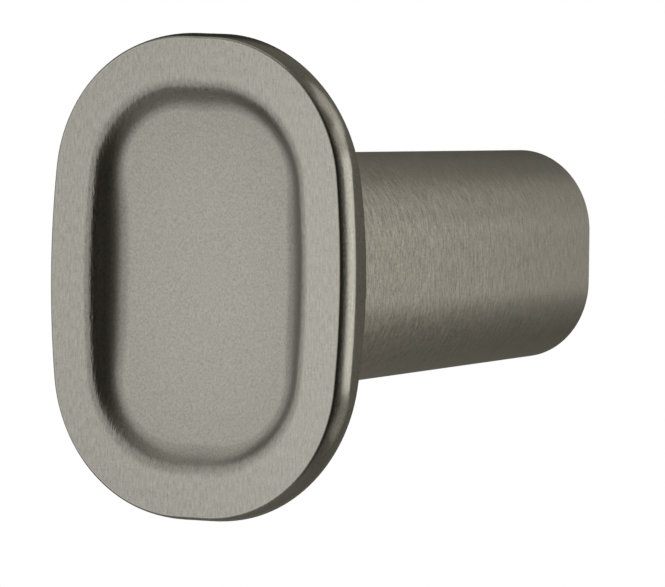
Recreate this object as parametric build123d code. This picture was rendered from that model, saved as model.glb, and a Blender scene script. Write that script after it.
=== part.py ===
"""Cabinet knob: an upright plate with a dished front on a tapered stem, cast in one piece.

It is modelled standing on its foot, then laid over: the stem runs along Y and the plate's
front looks to -Y, with +Z up along the plate. The origin is the middle of the stem's foot,
where the knob meets the cabinet front.
"""

import os
from math import atan2, cos, degrees, radians, sqrt, tan

from build123d import *

# Driving dimensions, in millimetres and degrees
projection = 37.0  # from the cabinet front to the plate's face

plate_width = 20.0
plate_height = 28.0
plate_thickness = 3.2  # at the stem
side_bow = 60.0  # radius of the long sides, which bow out a little
end_straight = 1.9  # straight stretch in the middle of the top and bottom
parting_depth = 1.5  # from the face back to the parting line, where the plate is widest
edge_land = 0.2  # level stretch of the side, just in front of the parting line
edge_crown = 5.0  # radius of the side from there to the face
edge_draft = 8.0  # lean of the side behind the parting line
edge_break = 0.25  # chamfer along the front of the side
back_land = 0.3  # flat left round the stem's root before the back curves away
back_dome = 44.0  # radius of that curve, which thins the plate towards its edge

rim_side = 2.79  # flat rim beside the dish, on the long sides
rim_end = 3.0  # the same at the top and bottom
dish_depth = 1.9  # at the middle of the dish
dish_bowl = 53.0  # radius of the dish's hollow floor
dish_wall_lean = 36.0  # lean of the dish's wall away from square
dish_lip_round = 1.0  # round where the rim turns into the wall
dish_floor_blend = 0.85  # hollow where the wall runs out into the floor

stem_root_width = 11.1
stem_root_height = 14.1
stem_draft = 1.45  # lean that narrows the stem towards its foot
stem_root_blend = 1.0  # hollow round the stem where it meets the plate
foot_break = 0.2  # chamfer round the foot

screw_hole_diameter = 3.3  # tapping size for an M4 screw
screw_hole_depth = 15.0
screw_hole_mouth = 0.4  # depth of the countersunk mouth
drill_point_angle = 118.0

# Places along the stem, measured forward from the cabinet front
plate_back = projection - plate_thickness
parting_line = projection - parting_depth
dish_floor = projection - dish_depth

# Diameter of the flat at the middle of the plate's back
back_flat = stem_root_height + 2 * (stem_root_blend + back_land)

# The dish's wall is lowest at the ends, and the rounds at its lip and foot keep to what it has there
dish_end = plate_height / 2 - rim_end - dish_depth * tan(radians(dish_wall_lean)) / 2
end_wall = dish_depth - dish_bowl + sqrt(dish_bowl**2 - dish_end**2)
end_wall_length = end_wall / cos(radians(dish_wall_lean))
reach_per_radius = tan(radians(90 - dish_wall_lean) / 2)
lip_round = min(dish_lip_round, 0.5 * end_wall_length / reach_per_radius)
floor_blend = min(dish_floor_blend, 0.4 * end_wall_length / reach_per_radius)


def soft_outline(width, height):
    """Return a face with bowed sides, short straight ends and one arc at each corner."""
    bow_centre = width / 2 - side_bow
    across = end_straight / 2 - bow_centre
    corner_radius = (side_bow**2 - across**2 - (height / 2) ** 2) / (2 * side_bow - height)
    corner_centre = height / 2 - corner_radius
    turn = degrees(atan2(corner_centre, across))
    side = CenterArc((bow_centre, 0), side_bow, -turn, 2 * turn)
    corner = CenterArc((end_straight / 2, corner_centre), corner_radius, turn, 90 - turn)
    end = Line((-end_straight / 2, height / 2), (end_straight / 2, height / 2))
    upper = corner + mirror(corner, Plane.YZ) + end
    return make_face(upper + mirror(upper, Plane.XZ) + side + mirror(side, Plane.YZ))


def narrowing_back(face, start, length, lean):
    """Return a face drawn from a place on the stem towards the cabinet, leaning inwards."""
    return Pos(0, 0, start) * Rot(X=180) * extrude(face, length, taper=lean)


def ball_across(place, radius, diameter):
    """Return a ball whose back crosses a place on the stem in a circle of this diameter."""
    centre = place + sqrt(radius**2 - (diameter / 2) ** 2)
    # The ball's poles lie off to the side, away from the patch that is used
    return Pos(0, 0, centre) * Rot(X=90) * Sphere(radius)


def flat_face_at(solid, place):
    """Return the flat face across the stem that lies nearest to a place."""
    flat_faces = solid.faces().filter_by(Axis.Z)
    return flat_faces.sort_by(lambda face: abs(face.center().Z - place))[0]


def plate():
    """Return the plate with its swelling side, broken edge and domed back, before the dish is sunk."""
    widest = soft_outline(plate_width, plate_height)
    swell_top = edge_land + edge_crown
    swell = extrude(widest, swell_top)
    swell = fillet(flat_face_at(swell, swell_top).edges(), edge_crown)
    front = split(swell, Plane.XY.offset(parting_depth), keep=Keep.BOTTOM)
    back = mirror(extrude(widest, plate_thickness - parting_depth, taper=edge_draft), Plane.XY)
    body = Pos(0, 0, parting_line) * (front + back)
    body = chamfer(flat_face_at(body, projection).edges(), edge_break)
    return body & ball_across(plate_back, back_dome, back_flat)


def dish():
    """Return the shape that is sunk into the plate's front: a leaning wall and a hollow floor."""
    mouth = soft_outline(plate_width - 2 * rim_side, plate_height - 2 * rim_end)
    past_the_floor = 2 * dish_depth
    hollow = narrowing_back(mouth, projection, past_the_floor, dish_wall_lean)
    hollow = hollow & ball_across(dish_floor, dish_bowl, 0)
    floor = hollow.faces().filter_by(GeomType.SPHERE)[0]
    return fillet(floor.edges(), floor_blend)


def stem():
    """Return the stem, drafted so that it narrows towards its foot."""
    root = SlotOverall(stem_root_height, stem_root_width, rotation=90)
    return narrowing_back(root, plate_back, plate_back, stem_draft)


def screw_hole():
    """Return the blind tapping hole in the foot, with its mouth and drill point."""
    radius = screw_hole_diameter / 2
    point = radius / tan(radians(drill_point_angle / 2))
    grow_forward = (Align.CENTER, Align.CENTER, Align.MIN)
    wall = Cylinder(radius, screw_hole_depth, align=grow_forward)
    mouth = Cone(radius + screw_hole_mouth, radius, screw_hole_mouth, align=grow_forward)
    tip = Pos(0, 0, screw_hole_depth) * Cone(radius, 0, point, align=grow_forward)
    return wall + mouth + tip


def knob():
    """Return the whole knob as one casting, standing on its foot."""
    head = plate() - dish()
    head = fillet(flat_face_at(head, projection).inner_wires()[0].edges(), lip_round)
    casting = head + stem()
    casting = fillet(flat_face_at(casting, plate_back).inner_wires()[0].edges(), stem_root_blend)
    casting = chamfer(flat_face_at(casting, 0).edges(), foot_break)
    return casting - screw_hole()


os.makedirs("parts", exist_ok=True)
export_step(Plane.XZ * knob(), "parts/knob.step")
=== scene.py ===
"""Models the skin of a cast cabinet knob, gives it its brushed finish and sets it in a small studio."""

from math import asin, atan2, cos, pi, radians, sin, sqrt, tan

import bmesh
import bpy
from bpy.props import FloatProperty, FloatVectorProperty, IntProperty, PointerProperty
from mathutils import Matrix, Vector


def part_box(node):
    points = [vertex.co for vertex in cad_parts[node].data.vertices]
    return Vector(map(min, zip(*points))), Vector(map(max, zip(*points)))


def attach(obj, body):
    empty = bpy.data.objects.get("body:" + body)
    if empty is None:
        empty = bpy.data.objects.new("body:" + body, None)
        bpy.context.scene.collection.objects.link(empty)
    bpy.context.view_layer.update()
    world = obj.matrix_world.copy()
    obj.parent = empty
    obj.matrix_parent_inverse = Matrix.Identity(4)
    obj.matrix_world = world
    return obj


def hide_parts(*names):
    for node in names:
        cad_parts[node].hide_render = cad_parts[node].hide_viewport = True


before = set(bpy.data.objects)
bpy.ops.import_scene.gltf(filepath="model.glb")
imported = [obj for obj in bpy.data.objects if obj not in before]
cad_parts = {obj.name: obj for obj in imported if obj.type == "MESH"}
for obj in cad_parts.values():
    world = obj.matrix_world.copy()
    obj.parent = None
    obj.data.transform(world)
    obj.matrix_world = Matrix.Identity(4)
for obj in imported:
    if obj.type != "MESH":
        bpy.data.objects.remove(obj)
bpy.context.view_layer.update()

bl_info = {
    "name": "Cabinet Knob",
    "version": (1, 0, 0),
    "blender": (4, 5, 0),
    "location": "View3D > Sidebar > Knob",
    "description": "Models a cast cabinet knob with a dished plate and lights it",
    "category": "Add Mesh",
}

MM = 0.001
LOW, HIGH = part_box("knob")

# The photo's frame and the middle of the plate's face in it, in pixels
IMAGE_WIDTH = 665
IMAGE_HEIGHT = 587
PLATE_MIDDLE_X = 194.4
PLATE_MIDDLE_Y = 278.0
PIXELS_PER_METRE = 17450.0

# Steps along a quarter of every outline: half a side, a corner, half an end
SIDE_STEPS = 10
CORNER_STEPS = 32
END_STEPS = 3
QUARTER_STEPS = SIDE_STEPS + CORNER_STEPS + END_STEPS
LOOP_STEPS = 4 * QUARTER_STEPS

# Steps across the rounds and the domed back
DISH_ROUND_STEPS = 12
EDGE_STEPS = 8
BACK_ROUND_STEPS = 4
DOME_STEPS = 8
ROOT_STEPS = 10

GRID_CORNER = SIDE_STEPS + CORNER_STEPS // 2 - 2  # where the grid in the dish's floor has its first corner
MEETING_ROUNDS = 12  # enough for a leaning line to settle on a ball
BLEND_SHARE = 0.95  # most that the floor's blend takes of the wall which the lip leaves
END_POWER = 1.5  # how late the dish's wall turns from its form at the sides to that at the ends
FOOT_MARGIN = 0.1 * MM  # narrow rows of faces that keep the foot's shading flat
MERGE_DISTANCE = 0.0005 * MM
FLAT_WEIGHT = 80  # how much large faces rule the shading of the small ones beside them

# Shares of a thread's turn that its crest and its root take, with the flanks between them
CREST_SHARE = 0.25
ROOT_SHARE = 0.13

# Places of the finishes in the knob's material slots
FRONT, SIDE, STEM, BORE = range(4)

# Grains of each texture to a millimetre, along x, y and z
RIM_SWAY = (0.5, 0.5, 0.2)
RIM_STROKES = (9.0, 1.0, 1.8)
FRONT_SPECKLE = (10.0, 10.0, 8.0)
SIDE_STREAKS = (1.5, 9.0, 1.5)
SIDE_MOTTLE = (7.0, 7.0, 7.0)
STEM_SWAY = (0.3, 0.4, 0.3)
STEM_STROKES = (1.5, 10.0, 1.5)
STEM_SPECKLE = (8.0, 6.0, 8.0)
BORE_TOOLING = (0.5, 20.0, 0.5)
FLOOR_MOTTLE = (0.02, 0.02, 0.02)

# Depths under the rim between which the blasting comes in, and the lip's strokes come in and fade
BLASTING = (0.1 * MM, 0.45 * MM)
LIP_STARTS = (0.02 * MM, 0.15 * MM)
LIP_FADES = (0.4 * MM, 0.9 * MM)

# Places along the stem between which it turns from its look at the plate to its look at the foot
STEM_CHANGES = (-32 * MM, 4 * MM)
# Heights from the stem's axis, squared, between which its strokes fade
STEM_TURNS_OVER = ((3 * MM) ** 2, (7 * MM) ** 2)

# Lamps: name, azimuth and elevation in degrees, distance, width and height in metres, share of the light
FRONT_LAMPS = (
    ("front_core", -32, -3, 0.9, 0.52, 0.58, 0.43),
    ("front_spread", -31, 2, 0.9, 1.4, 1.7, 0.52),
    ("front_right", 11, 0, 0.9, 0.2, 0.4, 0.5),
)
REAR_LAMPS = (
    ("rear_low", 140.5, 2, 1.2, 0.4, 0.55, 0.36),
    ("rear_middle", 141.5, 8, 1.2, 0.4, 0.88, 0.3),
    ("rear_high", 156, 30, 1.2, 0.4, 0.5, 0.29),
    ("rear_below", 145, -20, 1.2, 0.4, 0.5, 0.13),
)
LEFT_LAMPS = (("left_softbox", -84, 0, 1.2, 0.55, 1.0, 1.0),)
TOP_LAMPS = (("top_softbox", -90, 75, 1.0, 1.0, 1.0, 1.0),)
WHITE = (1.0, 1.0, 1.0)

# Unlit parts of the studio, in degrees: azimuth, elevation, reach of full dark, reach of any dark
UNLIT_PARTS = (
    (80, 0, 35, 75),  # the right side
    (-144, 18, 6, 22),  # a black card high behind on the left
)
CEILING_STARTS = (-0.1, 0.45)  # upward part of a direction, from all wall to all ceiling

# The floor, whose middle lies on the knob's left, and the backdrop, in metres
FLOOR_SIZE = 3.0
FLOOR_ASIDE = 1.15
FLOOR_ROUGHNESS = 0.9
FLOOR_DIMMEST = 0.97
BACKDROP_SIZE = 0.3
SENSOR_WIDTH = 36.0  # in millimetres, as the camera's lens is


def length(name, description, default):
    """Return a property that holds a length."""
    return FloatProperty(
        name=name, description=description, default=default, min=0, precision=5, unit="LENGTH"
    )


def turn_of(name, description, default_degrees):
    """Return a property that holds an angle."""
    default = radians(default_degrees)
    return FloatProperty(
        name=name, description=description, default=default, subtype="ANGLE", unit="ROTATION"
    )


def share(name, description, default):
    """Return a property that holds a plain number from 0 up."""
    return FloatProperty(name=name, description=description, default=default, min=0, precision=4)


def colour(name, description, default):
    """Return a property that holds a linear colour."""
    return FloatVectorProperty(
        name=name, description=description, default=default, size=3, min=0, max=1, subtype="COLOR"
    )


class KnobSizes(bpy.types.PropertyGroup):
    """Sizes of the casting; the overall ones come from the frame."""

    projection: length("Projection", "From the cabinet front to the plate's face", -LOW.y)
    plate_width: length("Plate width", "Across the plate", HIGH.x - LOW.x)
    plate_height: length("Plate height", "Along the plate", HIGH.z - LOW.z)
    plate_thickness: length("Plate thickness", "Front face to back face, at the stem", 3.2 * MM)
    side_bow: length("Side bow", "Radius of the long sides", 60 * MM)
    end_straight: length("End straight", "Straight stretch at the top and bottom", 1.9 * MM)
    parting_depth: length("Parting depth", "From the face back to the parting line", 1.5 * MM)
    edge_land: length("Edge land", "Level stretch in front of the parting line", 0.2 * MM)
    edge_crown: length("Edge crown", "Radius of the side from there to the face", 5 * MM)
    edge_draft: turn_of("Edge draft", "Lean of the side behind the parting line", 8)
    edge_round: length("Edge round", "Round along the front of the side", 0.17 * MM)
    back_round: length("Back round", "Round along the back of the side", 0.15 * MM)
    back_land: length("Back land", "Flat round the stem's root before the back curves away", 0.3 * MM)
    back_dome: length("Back dome", "Radius of that curve", 44 * MM)
    rim_side: length("Rim side", "Rim beside the dish, on the long sides", 2.83 * MM)
    rim_end: length("Rim end", "Rim beside the dish, at the top and bottom", 2.92 * MM)
    dish_depth: length("Dish depth", "Depth at the middle of the dish", 1.7 * MM)
    dish_bowl: length("Dish bowl", "Radius of the dish's hollow floor", 53 * MM)
    wall_lean_side: turn_of("Wall lean, sides", "Lean of the dish's wall away from square", 36)
    wall_lean_end: turn_of("Wall lean, ends", "The same at the top and bottom", 54)
    lip_round_side: length("Lip round, sides", "Round where the rim turns into the wall", 1 * MM)
    lip_round_end: length("Lip round, ends", "The same at the top and bottom", 1.8 * MM)
    floor_blend_side: length("Floor blend, sides", "Hollow where the wall meets the floor", 2.2 * MM)
    floor_blend_end: length("Floor blend, ends", "The same at the top and bottom", 3 * MM)
    stem_root_width: length("Stem root width", "Stem across, at the plate", 11.1 * MM)
    stem_root_height: length("Stem root height", "Stem upright, at the plate", 14.1 * MM)
    stem_draft: turn_of("Stem draft", "Lean that narrows the stem towards its foot", 1.45)
    stem_root_blend: length("Stem root blend", "Hollow where the stem meets the plate", 1 * MM)
    foot_break: length("Foot break", "Chamfer round the foot", 0.2 * MM)
    hole_diameter: length("Hole diameter", "Tapping size of the screw hole", 3.3 * MM)
    hole_depth: length("Hole depth", "Full width depth of the screw hole", 15 * MM)
    hole_mouth: length("Hole mouth", "Depth of the countersunk mouth", 0.4 * MM)
    drill_point: turn_of("Drill point", "Angle of the hole's pointed end", 118)
    thread_diameter: length("Thread diameter", "Outside of the thread", 4 * MM)
    thread_pitch: length("Thread pitch", "Distance from turn to turn", 0.7 * MM)
    thread_length: length("Thread length", "How deep the thread runs", 13 * MM)
    thread_rows: IntProperty(name="Thread rows", description="Rows of faces to one turn", default=8, min=4)


class KnobFinish(bpy.types.PropertyGroup):
    """Colours and surface of the metal."""

    metal: colour("Metal", "Colour of the plated metal", (0.372, 0.361, 0.327))
    # Painted light: the stem takes a paler copy of the plate's metal, which stands in for more light on it
    stem_painted_light: share("Stem lift", "How many times paler the stem's metal is", 1.17)
    front_roughness: share("Rim roughness", "Roughness of the brushed rim", 0.3)
    dish_roughness: share("Dish roughness", "Roughness of the blasted dish", 0.34)
    side_roughness: share("Side roughness", "Roughness of the plate's side", 0.2)
    stem_roughness: share("Stem roughness", "Roughness of the brushed stem", 0.45)
    bore_roughness: share("Bore roughness", "Roughness of the tapped hole", 0.3)
    rim_scratch: length("Rim scratch", "Depth of the brushing on the rim", 0.003 * MM)
    lip_scratch: length("Lip scratch", "Depth of the brushing over the dish's lip", 0.022 * MM)
    dish_grain: length("Dish grain", "Depth of the grain in the dish", 0.004 * MM)
    side_scratch: length("Side scratch", "Depth of the brushing on the side and in the hole", 0.002 * MM)
    stem_scratch: length("Stem scratch", "Depth of the brushing on the stem", 0.008 * MM)


class KnobStage(bpy.types.PropertyGroup):
    """Camera, lamps and surroundings."""

    azimuth: turn_of("Azimuth", "Camera's way round from the plate's axis", 32.2)
    elevation: turn_of("Elevation", "Camera's height over the plate's middle", 3.19)
    roll: turn_of("Roll", "Camera's tilt about its own axis", 0.75)
    distance: length("Distance", "Camera to the middle of the plate's face", 0.664)
    floor_drop: length("Floor drop", "Height of the knob's axis over the floor", 0.95)
    backdrop_distance: length("Backdrop distance", "Knob to the white card behind it", 1.25)
    floor_colour: colour("Floor", "Colour of the floor", (0.7, 0.69, 0.67))
    surround: colour("Surround", "Light from the studio's walls", (0.165, 0.156, 0.133))
    shade: colour("Shade", "Light from the unlit parts of the studio", (0.035, 0.031, 0.024))
    sky: colour("Sky", "Light from the studio's ceiling", (0.2, 0.19, 0.163))
    rear_tint: colour("Rear tint", "Colour of the lamps behind", (1.0, 0.98, 0.92))
    front_light: share("Front light", "Radiance that the softboxes in front take their shares of", 1.0)
    rear_light: share("Rear light", "Radiance that the softboxes behind take their shares of", 2.0)
    left_light: share("Left light", "Radiance of the softbox on the left", 0.45)
    top_light: share("Top light", "Radiance of the softbox overhead", 0.35)


# Outlines: each is a quarter, from the middle of the right side to the middle of the top end,
# as (x, z, direction that the outline faces)


def soft_quarter(width, height, bow, end_straight):
    """Return a quarter with a bowed side, one corner arc and half a straight end."""
    bow_centre = width / 2 - bow
    across = end_straight / 2 - bow_centre
    radius = (bow**2 - across**2 - (height / 2) ** 2) / (2 * bow - height)
    corner_height = height / 2 - radius
    turn = atan2(corner_height, across)
    points = []
    for step in range(SIDE_STEPS):
        facing = turn * step / SIDE_STEPS
        points.append((bow_centre + bow * cos(facing), bow * sin(facing), facing))
    for step in range(CORNER_STEPS):
        facing = turn + (pi / 2 - turn) * step / CORNER_STEPS
        x = end_straight / 2 + radius * cos(facing)
        points.append((x, corner_height + radius * sin(facing), facing))
    for step in range(END_STEPS + 1):
        points.append((end_straight / 2 * (1 - step / END_STEPS), height / 2, pi / 2))
    return points


def slot_quarter(width, height):
    """Return a quarter with a straight side and a half-round end."""
    radius = width / 2
    straight = height / 2 - radius
    arc_steps = CORNER_STEPS + END_STEPS
    points = []
    for step in range(SIDE_STEPS):
        points.append((radius, straight * step / SIDE_STEPS, 0.0))
    for step in range(arc_steps + 1):
        facing = pi / 2 * step / arc_steps
        points.append((radius * cos(facing), straight + radius * sin(facing), facing))
    return points


def round_quarter(radius):
    """Return a quarter of a circle."""
    turns = [pi / 2 * step / QUARTER_STEPS for step in range(QUARTER_STEPS + 1)]
    return [(radius * cos(facing), radius * sin(facing), facing) for facing in turns]


def whole_loop(quarter):
    """Return a whole outline from a quarter of it, whose points are (x, z, forward of the cabinet)."""
    rising = quarter[:-1]
    falling = quarter[:0:-1]
    loop = list(rising)
    loop += [(-x, z, forward) for x, z, forward in falling]
    loop += [(-x, -z, forward) for x, z, forward in rising]
    loop += [(x, -z, forward) for x, z, forward in falling]
    return [Vector((x, -forward, z)) for x, z, forward in loop]


def carried_loops(quarter, section):
    """Return the loops that a section draws round an outline; it gives its places for any point of it."""
    sections = [section(*point) for point in quarter]
    loops = []
    for places in zip(*sections):
        carried = []
        for (x, z, facing), (outward, forward) in zip(quarter, places):
            carried.append((x + outward * cos(facing), z + outward * sin(facing), forward))
        loops.append(whole_loop(carried))
    return loops


class Ball:
    """A large sphere centred on the stem's axis, used from the inside."""

    def __init__(self, place, radius, across=0.0):
        """Let its back cross a place on the stem in a circle of a given diameter."""
        self.radius = radius
        self.centre = place + sqrt(radius**2 - (across / 2) ** 2)

    def forward(self, x, z):
        """Return how far forward of the cabinet its back lies."""
        return self.centre - sqrt(self.radius**2 - x**2 - z**2)

    def slope(self, x, z, facing):
        """Return the angle at which it rises in a direction."""
        along = x * cos(facing) + z * sin(facing)
        return atan2(along, sqrt(self.radius**2 - x**2 - z**2))

    def met_by(self, x, z, facing, start, lean):
        """Return where a line that leans inwards from an outline meets it, and its rise there."""
        depth = 0.0
        for _ in range(MEETING_ROUNDS):
            outward = -depth * tan(lean)
            across, up = x + outward * cos(facing), z + outward * sin(facing)
            depth = start - self.forward(across, up)
        return outward, start - depth, self.slope(across, up, facing)


def round_corner(outward, forward, arriving, leaving, radius, steps):
    """Return the arc that rounds a corner of the section, as (outward, forward) places."""
    turn = leaving - arriving
    side = 1 if turn > 0 else -1
    tangent = radius * tan(abs(turn) / 2)
    centre_outward = outward - tangent * cos(arriving) - side * radius * sin(arriving)
    centre_forward = forward - tangent * sin(arriving) + side * radius * cos(arriving)
    places = []
    for step in range(steps + 1):
        heading = arriving + turn * step / steps
        places.append(
            (centre_outward + side * radius * sin(heading), centre_forward - side * radius * cos(heading))
        )
    return places


def broken_corner(outward, forward, arriving, leaving, size):
    """Return the two places where a chamfer cuts a corner of the section."""
    return [
        (outward - size * cos(arriving), forward - size * sin(arriving)),
        (outward + size * cos(leaving), forward + size * sin(leaving)),
    ]


def dish_ball(sizes):
    """Return the ball that hollows the dish's floor."""
    return Ball(sizes.projection - sizes.dish_depth, sizes.dish_bowl)


def dish_loops(sizes):
    """Return the loops of the dish, from the edge of its floor up the wall to the rim."""
    bowl = dish_ball(sizes)
    mouth = soft_quarter(
        sizes.plate_width - 2 * sizes.rim_side,
        sizes.plate_height - 2 * sizes.rim_end,
        sizes.side_bow,
        sizes.end_straight,
    )

    def section(x, z, facing):
        to_the_end = sin(facing) ** END_POWER
        lean = sizes.wall_lean_side + (sizes.wall_lean_end - sizes.wall_lean_side) * to_the_end
        lip = sizes.lip_round_side + (sizes.lip_round_end - sizes.lip_round_side) * to_the_end
        hollow = sizes.floor_blend_side + (sizes.floor_blend_end - sizes.floor_blend_side) * to_the_end
        up_the_wall = pi / 2 - lean
        outward, forward, rise = bowl.met_by(x, z, facing, sizes.projection, lean)
        # The blend takes what the lip leaves of the wall, which is lowest at the dish's ends
        room = (sizes.projection - forward) / cos(lean) - lip * tan(up_the_wall / 2)
        blend = min(hollow, BLEND_SHARE * room / tan((up_the_wall - rise) / 2))
        foot = round_corner(outward, forward, rise, up_the_wall, blend, DISH_ROUND_STEPS)
        return foot + round_corner(0, sizes.projection, up_the_wall, 0.0, lip, DISH_ROUND_STEPS)

    return carried_loops(mouth, section)


def edge_places(sizes):
    """Return the section of the plate's front edge and of its side to the parting line."""
    parting_line = sizes.projection - sizes.parting_depth
    land = parting_line + sizes.edge_land
    # The edge's round lies within the crown and touches both it and the face
    apart = sizes.edge_crown - sizes.edge_round
    lean = asin((sizes.projection - sizes.edge_round - land) / apart)
    inset = sizes.edge_crown - apart * cos(lean)
    places = []
    for step in range(EDGE_STEPS):
        facing = pi / 2 - (pi / 2 - lean) * step / EDGE_STEPS
        forward = sizes.projection - sizes.edge_round * (1 - sin(facing))
        places.append((sizes.edge_round * cos(facing) - inset, forward))
    for step in range(EDGE_STEPS + 1):
        facing = lean * (1 - step / EDGE_STEPS)
        places.append((sizes.edge_crown * (cos(facing) - 1), land + sizes.edge_crown * sin(facing)))
    return places + [(0, parting_line)]


def back_loops(sizes, widest):
    """Return the loops of the plate's back edge and of its domed margin, in to the flat round the stem."""
    flat_across = sizes.stem_root_height + 2 * (sizes.stem_root_blend + sizes.back_land)
    dome = Ball(sizes.projection - sizes.plate_thickness, sizes.back_dome, flat_across)
    parting_line = sizes.projection - sizes.parting_depth
    down_the_side = -pi / 2 - sizes.edge_draft

    def section(x, z, facing):
        outward, forward, rise = dome.met_by(x, z, facing, parting_line, sizes.edge_draft)
        return round_corner(outward, forward, down_the_side, rise - pi, sizes.back_round, BACK_ROUND_STEPS)

    loops = carried_loops(widest, section)
    flat = whole_loop([(x, z, dome.forward(x, z)) for x, z, facing in round_quarter(flat_across / 2)])
    edge = loops[-1]
    for step in range(1, DOME_STEPS + 1):
        ring = [first.lerp(last, step / DOME_STEPS) for first, last in zip(edge, flat)]
        for point in ring:
            point.y = -dome.forward(point.x, point.z)
        loops.append(ring)
    return loops


def plate_bands(sizes):
    """Return the loops of the dish and the plate with their finishes, from the dish's floor to the back."""
    widest = soft_quarter(sizes.plate_width, sizes.plate_height, sizes.side_bow, sizes.end_straight)
    edge = edge_places(sizes)
    rim_edge, *side = carried_loops(widest, lambda *point: edge)
    bands = [(loop, FRONT) for loop in [*dish_loops(sizes), rim_edge]]
    return bands + [(loop, SIDE) for loop in [*side, *back_loops(sizes, widest)]]


def stem_bands(sizes):
    """Return the loops of the stem with their finishes, from its root at the plate's back to its foot."""
    inwards = -pi
    to_the_foot = -pi / 2 - sizes.stem_draft
    plate_back = sizes.projection - sizes.plate_thickness
    draft_run = plate_back * tan(sizes.stem_draft)
    root = slot_quarter(sizes.stem_root_width, sizes.stem_root_height)
    places = round_corner(0, plate_back, inwards, to_the_foot, sizes.stem_root_blend, ROOT_STEPS)
    places += broken_corner(-draft_run, 0, to_the_foot, inwards, sizes.foot_break)
    foot_edge, _ = places[-1]
    places.append((foot_edge - FOOT_MARGIN, 0))
    # The faces up to the first loop belong to the plate's back
    outer, *stem = carried_loops(root, lambda *point: places)
    return [(outer, SIDE)] + [(loop, STEM) for loop in stem]


def thread_radius(sizes, depth, angle):
    """Return the tapped hole's radius at a depth and an angle round it."""
    bore = sizes.hole_diameter / 2
    countersink = bore + sizes.hole_mouth - depth
    turn = (depth / sizes.thread_pitch - angle / (2 * pi)) % 1.0
    from_root = abs(2 * turn - 1)
    to_the_crest = 1 - CREST_SHARE
    flank = min(max((to_the_crest - from_root) / (to_the_crest - ROOT_SHARE), 0.0), 1.0)
    run_out = min(max((sizes.thread_length - depth) / sizes.thread_pitch, 0.0), 1.0)
    groove = (sizes.thread_diameter / 2 - bore) * flank * run_out
    return max(countersink, bore + groove)


def bore_bands(sizes):
    """Return the loops of the tapped hole with their finishes, from its mouth to the drill point."""
    rows = round(sizes.hole_depth / sizes.thread_pitch * sizes.thread_rows)
    margin = round_quarter(sizes.hole_diameter / 2 + sizes.hole_mouth + FOOT_MARGIN)
    bands = [(whole_loop([(x, z, 0.0) for x, z, facing in margin]), STEM)]
    for row in range(rows + 1):
        depth = sizes.hole_depth * row / rows
        loop = []
        for step in range(LOOP_STEPS):
            angle = 2 * pi * step / LOOP_STEPS
            radius = thread_radius(sizes, depth, angle)
            loop.append(Vector((radius * cos(angle), -depth, radius * sin(angle))))
        bands.append((loop, BORE if row else STEM))
    point = sizes.hole_diameter / 2 / tan(sizes.drill_point / 2)
    tip = [Vector((0, -sizes.hole_depth - point, 0))] * LOOP_STEPS
    bands.append((tip, BORE))
    return bands


def lay_loop(mesh, loop, finish):
    """Lay the selected loop of vertices on an outline, and give the faces behind it their finish."""
    work = bmesh.from_edit_mesh(mesh)
    place = work.verts.layers.int["place"]
    chosen = [vert for vert in work.verts if vert.select]
    for vert in chosen:
        vert.co = loop[vert[place]]
    for face in {face for vert in chosen for face in vert.link_faces}:
        face.material_index = finish
    bmesh.update_edit_mesh(mesh, loop_triangles=False)


def model_knob(sizes):
    """Model the casting by drawing one loop out from the dish's floor to the end of the screw hole."""
    bands = plate_bands(sizes) + stem_bands(sizes) + bore_bands(sizes)
    bpy.ops.object.select_all(action="DESELECT")
    bpy.ops.mesh.primitive_circle_add(vertices=LOOP_STEPS, radius=sizes.plate_width / 4, enter_editmode=True)
    knob = bpy.context.object
    knob.name = "knob_casting"
    mesh = knob.data
    mesh.name = "knob_casting"
    bpy.context.tool_settings.mesh_select_mode = (False, True, False)
    work = bmesh.from_edit_mesh(mesh)
    place = work.verts.layers.int.new("place")
    for step, vert in enumerate(work.verts):
        vert[place] = step
    bpy.ops.mesh.select_all(action="SELECT")
    lay_loop(mesh, *bands[0])
    for loop, finish in bands[1:]:
        bpy.ops.mesh.extrude_edges_indiv()
        lay_loop(mesh, loop, finish)
    close_ends(mesh, sizes)
    bpy.ops.object.mode_set(mode="OBJECT")
    smooth_knob(knob)
    return knob


def close_ends(mesh, sizes):
    """Close the drill point, fill the dish's floor with a grid and turn the faces outwards."""
    bpy.context.tool_settings.mesh_select_mode = (True, False, False)
    bpy.ops.mesh.select_all(action="SELECT")
    bpy.ops.mesh.remove_doubles(threshold=MERGE_DISTANCE)
    bpy.ops.mesh.select_all(action="DESELECT")
    bpy.ops.mesh.select_non_manifold(extend=False, use_wire=False, use_multi_face=False, use_verts=False)
    work = bmesh.from_edit_mesh(mesh)
    place = work.verts.layers.int["place"]
    # The active vertex becomes the grid's first corner, about half way round a corner of the dish
    for vert in work.verts:
        if vert.select and vert[place] == GRID_CORNER:
            work.select_history.add(vert)
    bpy.ops.mesh.fill_grid(span=QUARTER_STEPS)
    bowl = dish_ball(sizes)
    for vert in bmesh.from_edit_mesh(mesh).verts:
        if vert.select:
            vert.co.y = -bowl.forward(vert.co.x, vert.co.z)
    bmesh.update_edit_mesh(mesh, loop_triangles=False)
    bpy.ops.mesh.select_all(action="SELECT")
    bpy.ops.mesh.normals_make_consistent(inside=False)


def smooth_knob(knob):
    """Shade the casting smooth, with flat faces kept flat up to their rounds."""
    knob.data.attributes.remove(knob.data.attributes["place"])
    bpy.ops.object.shade_smooth()
    bpy.ops.object.modifier_add(type="WEIGHTED_NORMAL")
    weighted = knob.modifiers[-1]
    weighted.weight = FLAT_WEIGHT
    bpy.ops.object.modifier_apply(modifier=weighted.name)


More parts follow.
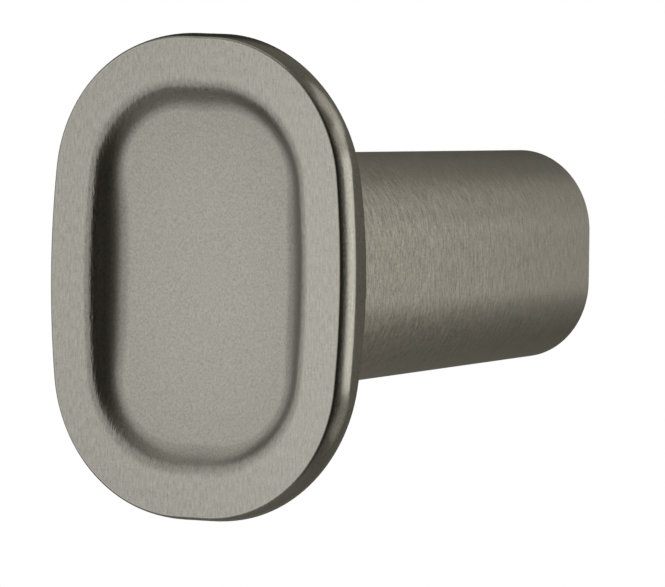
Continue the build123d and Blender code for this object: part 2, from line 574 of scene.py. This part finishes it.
class Wire:
    """A shader socket that takes part in Python expressions."""

    def __init__(self, tree, socket):
        self.tree = tree
        self.socket = socket

    def node(self, kind, settings, inputs, output=0):
        """Add a node, set it up, then give its sockets values or links, and return one output."""
        made = self.tree.nodes.new(kind)
        for name, value in settings.items():
            setattr(made, name, value)
        for name, value in inputs.items():
            if isinstance(value, Wire):
                self.tree.links.new(value.socket, made.inputs[name])
            else:
                made.inputs[name].default_value = value
        return Wire(self.tree, made.outputs[output])

    def math(self, operation, first, second):
        """Add a Math node."""
        return self.node("ShaderNodeMath", {"operation": operation}, {0: first, 1: second})

    def __add__(self, other):
        return self.math("ADD", self, other)

    def __radd__(self, other):
        return self.math("ADD", other, self)

    def __sub__(self, other):
        return self.math("SUBTRACT", self, other)

    def __rsub__(self, other):
        return self.math("SUBTRACT", other, self)

    def __mul__(self, other):
        return self.math("MULTIPLY", self, other)

    def __rmul__(self, other):
        return self.math("MULTIPLY", other, self)

    def between(self, low, high):
        """Return 0 under low, 1 over high and a smooth step from one to the other."""
        return self.node(
            "ShaderNodeMapRange",
            {"interpolation_type": "SMOOTHSTEP"},
            {"Value": self, "From Min": low, "From Max": high},
        )

    def blend(self, first, second):
        """Return a colour that goes from the first to the second with this value."""
        return self.node(
            "ShaderNodeMix", {"data_type": "RGBA"}, {"Factor": self, "A": first, "B": second}, output=2
        )

    def part(self, axis):
        """Return one part of a vector."""
        return self.node("ShaderNodeSeparateXYZ", {}, {0: self}, output=axis)

    def scaled(self, x, y, z):
        """Return a vector with its parts multiplied."""
        return self.node("ShaderNodeVectorMath", {"operation": "MULTIPLY"}, {0: self, 1: (x, y, z)})

    def moved(self, other):
        """Return a vector with another added."""
        return self.node("ShaderNodeVectorMath", {"operation": "ADD"}, {0: self, 1: other})

    def along(self, other):
        """Return how far a vector reaches along another."""
        return self.node(
            "ShaderNodeVectorMath", {"operation": "DOT_PRODUCT"}, {0: self, 1: other}, output="Value"
        )

    def grain(self, per_mm, detail=2.0, roughness=0.5):
        """Return noise, about 0.5 in the middle, with this many grains to a millimetre each way."""
        stretched = self.scaled(*(count / MM for count in per_mm))
        return self.node(
            "ShaderNodeTexNoise",
            {"noise_dimensions": "3D"},
            {"Vector": stretched, "Scale": 1.0, "Detail": detail, "Roughness": roughness},
        )


def new_finish(name):
    """Return a fresh metal material, its shader node and the object's own coordinates."""
    material = bpy.data.materials.new(name)
    material.use_nodes = True
    tree = material.node_tree
    shader = tree.nodes["Principled BSDF"]
    shader.inputs["Metallic"].default_value = 1.0
    place = Wire(tree, tree.nodes.new("ShaderNodeTexCoord").outputs["Object"])
    return material, shader, place


def dress(shader, place, metal, tone, contrast, roughness, height):
    """Drive a metal shader's colour by a tone about 0.5, and its bump by a height in metres."""
    tree = shader.id_data
    bump = place.node("ShaderNodeBump", {}, {"Strength": 1.0, "Distance": 1.0, "Height": height})
    dark = [part * (1 - contrast) for part in metal] + [1.0]
    light = [part * (1 + contrast) for part in metal] + [1.0]
    tree.links.new(tone.blend(dark, light).socket, shader.inputs["Base Color"])
    tree.links.new(roughness.socket, shader.inputs["Roughness"])
    tree.links.new(bump.socket, shader.inputs["Normal"])


def swayed(place, axis, amount, per_mm):
    """Return the place moved along one axis by slow noise, so that brushed lines wander."""
    wander = (place.grain(per_mm) - 0.5) * amount
    return place.moved(place.node("ShaderNodeCombineXYZ", {}, {axis: wander}))


def front_finish(sizes, finish):
    """Return the finish of the plate's front: an upright-brushed rim round a finely blasted dish."""
    material, shader, place = new_finish("brushed_front")
    sunk = place.part(1) + sizes.projection
    path = swayed(place, "X", 0.6 * MM, RIM_SWAY)
    strokes = path.grain(RIM_STROKES)
    speckle = place.grain(FRONT_SPECKLE, detail=1.0)
    brushing = 0.6 * strokes + 0.4 * speckle
    # The strokes make the edge of the blasting ragged
    ragged = sunk + (strokes - 0.5) * (0.4 * MM)
    blasted = ragged.between(*BLASTING)
    height = (1 - blasted) * brushing * finish.rim_scratch + blasted * speckle * finish.dish_grain
    # The brush drags over the dish's lip and leaves deeper strokes there
    lip = sunk.between(*LIP_STARTS) * (1 - ragged.between(*LIP_FADES))
    height = height + lip * strokes * finish.lip_scratch
    tone = (1 - blasted) * brushing + blasted * (0.2 + 0.6 * speckle)
    # Painted light and shade: the rim is painted lighter on the right and darker at its top and bottom ends
    painted_light_to_right = place.part(0).between(-12 * MM, 12 * MM) - 0.55
    painted_shade_at_ends = place.part(2) * place.part(2) * (1 / (13 * MM) ** 2)
    tone = tone + (1 - blasted) * (painted_light_to_right * 0.14 - painted_shade_at_ends * 0.06)
    roughness = finish.front_roughness + blasted * (finish.dish_roughness - finish.front_roughness)
    roughness = roughness + (tone - 0.5) * 0.15
    dress(shader, place, finish.metal, tone, contrast=0.6, roughness=roughness, height=height)
    return material


def side_finish(finish):
    """Return the finish of the plate's side and back: smooth, with a faint mottle and streaks round it."""
    material, shader, place = new_finish("smooth_side")
    tone = 0.3 * place.grain(SIDE_STREAKS) + 0.7 * place.grain(SIDE_MOTTLE)
    roughness = finish.side_roughness + (tone - 0.5) * 0.15
    height = tone * finish.side_scratch
    dress(shader, place, finish.metal, tone, contrast=0.5, roughness=roughness, height=height)
    return material


def stem_finish(sizes, finish):
    """Return the finish of the stem: short strokes brushed round it, bolder and paler near the plate."""
    material, shader, place = new_finish("brushed_stem")
    path = swayed(place, "Y", 0.8 * MM, STEM_SWAY)
    strokes = path.grain(STEM_STROKES, roughness=0.6)
    speckle = place.grain(STEM_SPECKLE, detail=1.0)
    brushing = 0.7 * strokes + 0.3 * speckle
    near_plate = 1 - place.part(1).between(*STEM_CHANGES)
    # The strokes fade where the stem turns over at its top and bottom, and in the hollow at its root
    upright = place.part(2) * place.part(2)
    strength = (0.35 + 0.65 * near_plate) * (1 - 0.6 * upright.between(*STEM_TURNS_OVER))
    plate_back = sizes.plate_thickness - sizes.projection
    strength = strength * place.part(1).between(plate_back, plate_back + 1.5 * sizes.stem_root_blend)
    height = brushing * finish.stem_scratch * strength
    tone = 0.5 + (brushing - 0.5) * strength * 2.8 + (near_plate - 0.1) * 0.22
    # Painted light: the stem's metal is painted paler than the plate's, the same metal
    metal = [part * finish.stem_painted_light for part in finish.metal]
    roughness = finish.stem_roughness + (brushing - 0.5) * 0.2
    dress(shader, place, metal, tone, contrast=0.6, roughness=roughness, height=height)
    return material


def bore_finish(finish):
    """Return the finish of the tapped hole: cut metal, smoother than the stem."""
    material, shader, place = new_finish("tapped_bore")
    tooling = place.grain(BORE_TOOLING)
    roughness = finish.bore_roughness + (tooling - 0.5) * 0.2
    height = tooling * finish.side_scratch
    dress(shader, place, finish.metal, tooling, contrast=0.15, roughness=roughness, height=height)
    return material


class KNOB_OT_casting(bpy.types.Operator):
    """Model the knob's casting and give it its finishes"""

    bl_idname = "knob.casting"
    bl_label = "Add Knob Casting"

    def execute(self, context):
        sizes = context.scene.knob_sizes
        finish = context.scene.knob_finish
        knob = model_knob(sizes)
        # In the order of the material slots
        for material in (
            front_finish(sizes, finish),
            side_finish(finish),
            stem_finish(sizes, finish),
            bore_finish(finish),
        ):
            knob.data.materials.append(material)
        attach(knob, "root")
        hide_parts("knob")
        return {"FINISHED"}


def aim(thing, place, target, roll=0.0):
    """Put a thing at a place, turned to a target, with its own tilt last."""
    facing = (target - place).to_track_quat("-Z", "Y").to_matrix().to_4x4()
    thing.matrix_world = Matrix.Translation(place) @ facing @ Matrix.Rotation(roll, 4, "Z")


def direction(azimuth, elevation):
    """Return the way from the knob to a place round it, by angles from the plate's axis."""
    return Vector((sin(azimuth) * cos(elevation), -cos(azimuth) * cos(elevation), sin(elevation)))


def add_softbox(target, light, tint, name, azimuth, elevation, distance, width, height, light_share):
    """Add an area lamp, turned to a target, whose radiance is a share of a light."""
    lamp = bpy.data.lights.new(name, "AREA")
    lamp.shape = "RECTANGLE"
    lamp.size = width
    lamp.size_y = height
    lamp.energy = light_share * light * pi * width * height
    lamp.color = tint
    softbox = bpy.data.objects.new(name, lamp)
    bpy.context.collection.objects.link(softbox)
    softbox.visible_camera = False
    aim(softbox, target + distance * direction(radians(azimuth), radians(elevation)), target)


def set_camera(stage, target):
    """Set the camera where the photo was taken from."""
    optics = bpy.data.cameras.new("camera")
    optics.sensor_width = SENSOR_WIDTH
    optics.lens = SENSOR_WIDTH * stage.distance / (IMAGE_WIDTH / PIXELS_PER_METRE)
    camera = bpy.data.objects.new("camera", optics)
    bpy.context.collection.objects.link(camera)
    way = direction(stage.azimuth, stage.elevation)
    level = Vector((cos(stage.azimuth), sin(stage.azimuth), 0))
    right = Matrix.Rotation(stage.roll, 3, way) @ level
    up = way.cross(right)
    aside = (IMAGE_WIDTH / 2 - PLATE_MIDDLE_X) / PIXELS_PER_METRE
    below = (IMAGE_HEIGHT / 2 - PLATE_MIDDLE_Y) / PIXELS_PER_METRE
    aim(camera, target + stage.distance * way, target + aside * right - below * up, stage.roll)
    bpy.context.scene.camera = camera


def set_world(stage):
    """Light the surroundings softly, a little paler overhead, with some parts of the studio left unlit."""
    world = bpy.data.worlds.new("studio")
    bpy.context.scene.world = world
    world.use_nodes = True
    tree = world.node_tree
    way = Wire(tree, tree.nodes.new("ShaderNodeTexCoord").outputs["Generated"])
    light = way.part(2).between(*CEILING_STARTS).blend([*stage.surround, 1], [*stage.sky, 1])
    for azimuth, elevation, full_dark, any_dark in UNLIT_PARTS:
        middle = direction(radians(azimuth), radians(elevation))
        dark = way.along(middle).between(cos(radians(any_dark)), cos(radians(full_dark)))
        light = dark.blend(light, [*stage.shade, 1])
    tree.links.new(light.socket, tree.nodes["Background"].inputs["Color"])


def paint_floor(stage):
    """Return a pale matt floor with a faint unevenness."""
    material = bpy.data.materials.new("pale_floor")
    material.use_nodes = True
    tree = material.node_tree
    shader = tree.nodes["Principled BSDF"]
    shader.inputs["Roughness"].default_value = FLOOR_ROUGHNESS
    place = Wire(tree, tree.nodes.new("ShaderNodeTexCoord").outputs["Object"])
    dim = [part * FLOOR_DIMMEST for part in stage.floor_colour] + [1]
    paint = place.grain(FLOOR_MOTTLE).blend(dim, [*stage.floor_colour, 1])
    tree.links.new(paint.socket, shader.inputs["Base Color"])
    return material


def paint_backdrop():
    """Return a white that the camera, reflections and glass see, and that lights nothing else."""
    material = bpy.data.materials.new("white_card")
    material.use_nodes = True
    tree = material.node_tree
    tree.nodes.remove(tree.nodes["Principled BSDF"])
    rays = tree.nodes.new("ShaderNodeLightPath")
    seen = Wire(tree, rays.outputs["Is Camera Ray"])
    seen = seen + Wire(tree, rays.outputs["Is Glossy Ray"]) + Wire(tree, rays.outputs["Is Transmission Ray"])
    white = seen.node("ShaderNodeEmission", {}, {"Color": (*WHITE, 1), "Strength": seen})
    tree.links.new(white.socket, tree.nodes["Material Output"].inputs["Surface"])
    return material


def add_card(name, size, material):
    """Add a flat square with a material."""
    bpy.ops.object.select_all(action="DESELECT")
    bpy.ops.mesh.primitive_plane_add(size=size)
    card = bpy.context.object
    card.name = name
    card.data.materials.append(material)
    return card


class KNOB_OT_stage(bpy.types.Operator):
    """Set the floor, the backdrop, the lamps and the camera"""

    bl_idname = "knob.stage"
    bl_label = "Set Knob Stage"

    def execute(self, context):
        stage = context.scene.knob_stage
        target = Vector((0, -context.scene.knob_sizes.projection, 0))
        context.scene.view_settings.view_transform = "Standard"
        floor = add_card("floor", FLOOR_SIZE, paint_floor(stage))
        floor.location = (-FLOOR_ASIDE, 0, -stage.floor_drop)
        backdrop = add_card("backdrop", BACKDROP_SIZE, paint_backdrop())
        way = direction(stage.azimuth, stage.elevation)
        aim(backdrop, target - stage.backdrop_distance * way, target)
        for lamps, light, tint in (
            (FRONT_LAMPS, stage.front_light, WHITE),
            (REAR_LAMPS, stage.rear_light, stage.rear_tint),
            (LEFT_LAMPS, stage.left_light, WHITE),
            (TOP_LAMPS, stage.top_light, WHITE),
        ):
            for lamp in lamps:
                add_softbox(target, light, tint, *lamp)
        set_camera(stage, target)
        set_world(stage)
        return {"FINISHED"}


class KNOB_PT_sidebar(bpy.types.Panel):
    """Sizes, finishes and stage of the knob"""

    bl_label = "Cabinet Knob"
    bl_space_type = "VIEW_3D"
    bl_region_type = "UI"
    bl_category = "Knob"

    def draw(self, context):
        for title, group, operator in (
            ("Casting", context.scene.knob_sizes, KNOB_OT_casting.bl_idname),
            ("Finish", context.scene.knob_finish, None),
            ("Stage", context.scene.knob_stage, KNOB_OT_stage.bl_idname),
        ):
            box = self.layout.box()
            box.label(text=title)
            for name in group.__annotations__:
                box.prop(group, name)
            if operator:
                box.operator(operator)


CLASSES = (KnobSizes, KnobFinish, KnobStage, KNOB_OT_casting, KNOB_OT_stage, KNOB_PT_sidebar)


def register():
    """Register the classes and give the scene its settings."""
    for made in CLASSES:
        bpy.utils.register_class(made)
    bpy.types.Scene.knob_sizes = PointerProperty(type=KnobSizes)
    bpy.types.Scene.knob_finish = PointerProperty(type=KnobFinish)
    bpy.types.Scene.knob_stage = PointerProperty(type=KnobStage)


def unregister():
    """Take the settings and the classes away again."""
    del bpy.types.Scene.knob_stage
    del bpy.types.Scene.knob_finish
    del bpy.types.Scene.knob_sizes
    for made in reversed(CLASSES):
        bpy.utils.unregister_class(made)


def main():
    """Make the knob and its stage."""
    register()
    bpy.ops.knob.casting()
    bpy.ops.knob.stage()


if __name__ == "__main__":
    main()
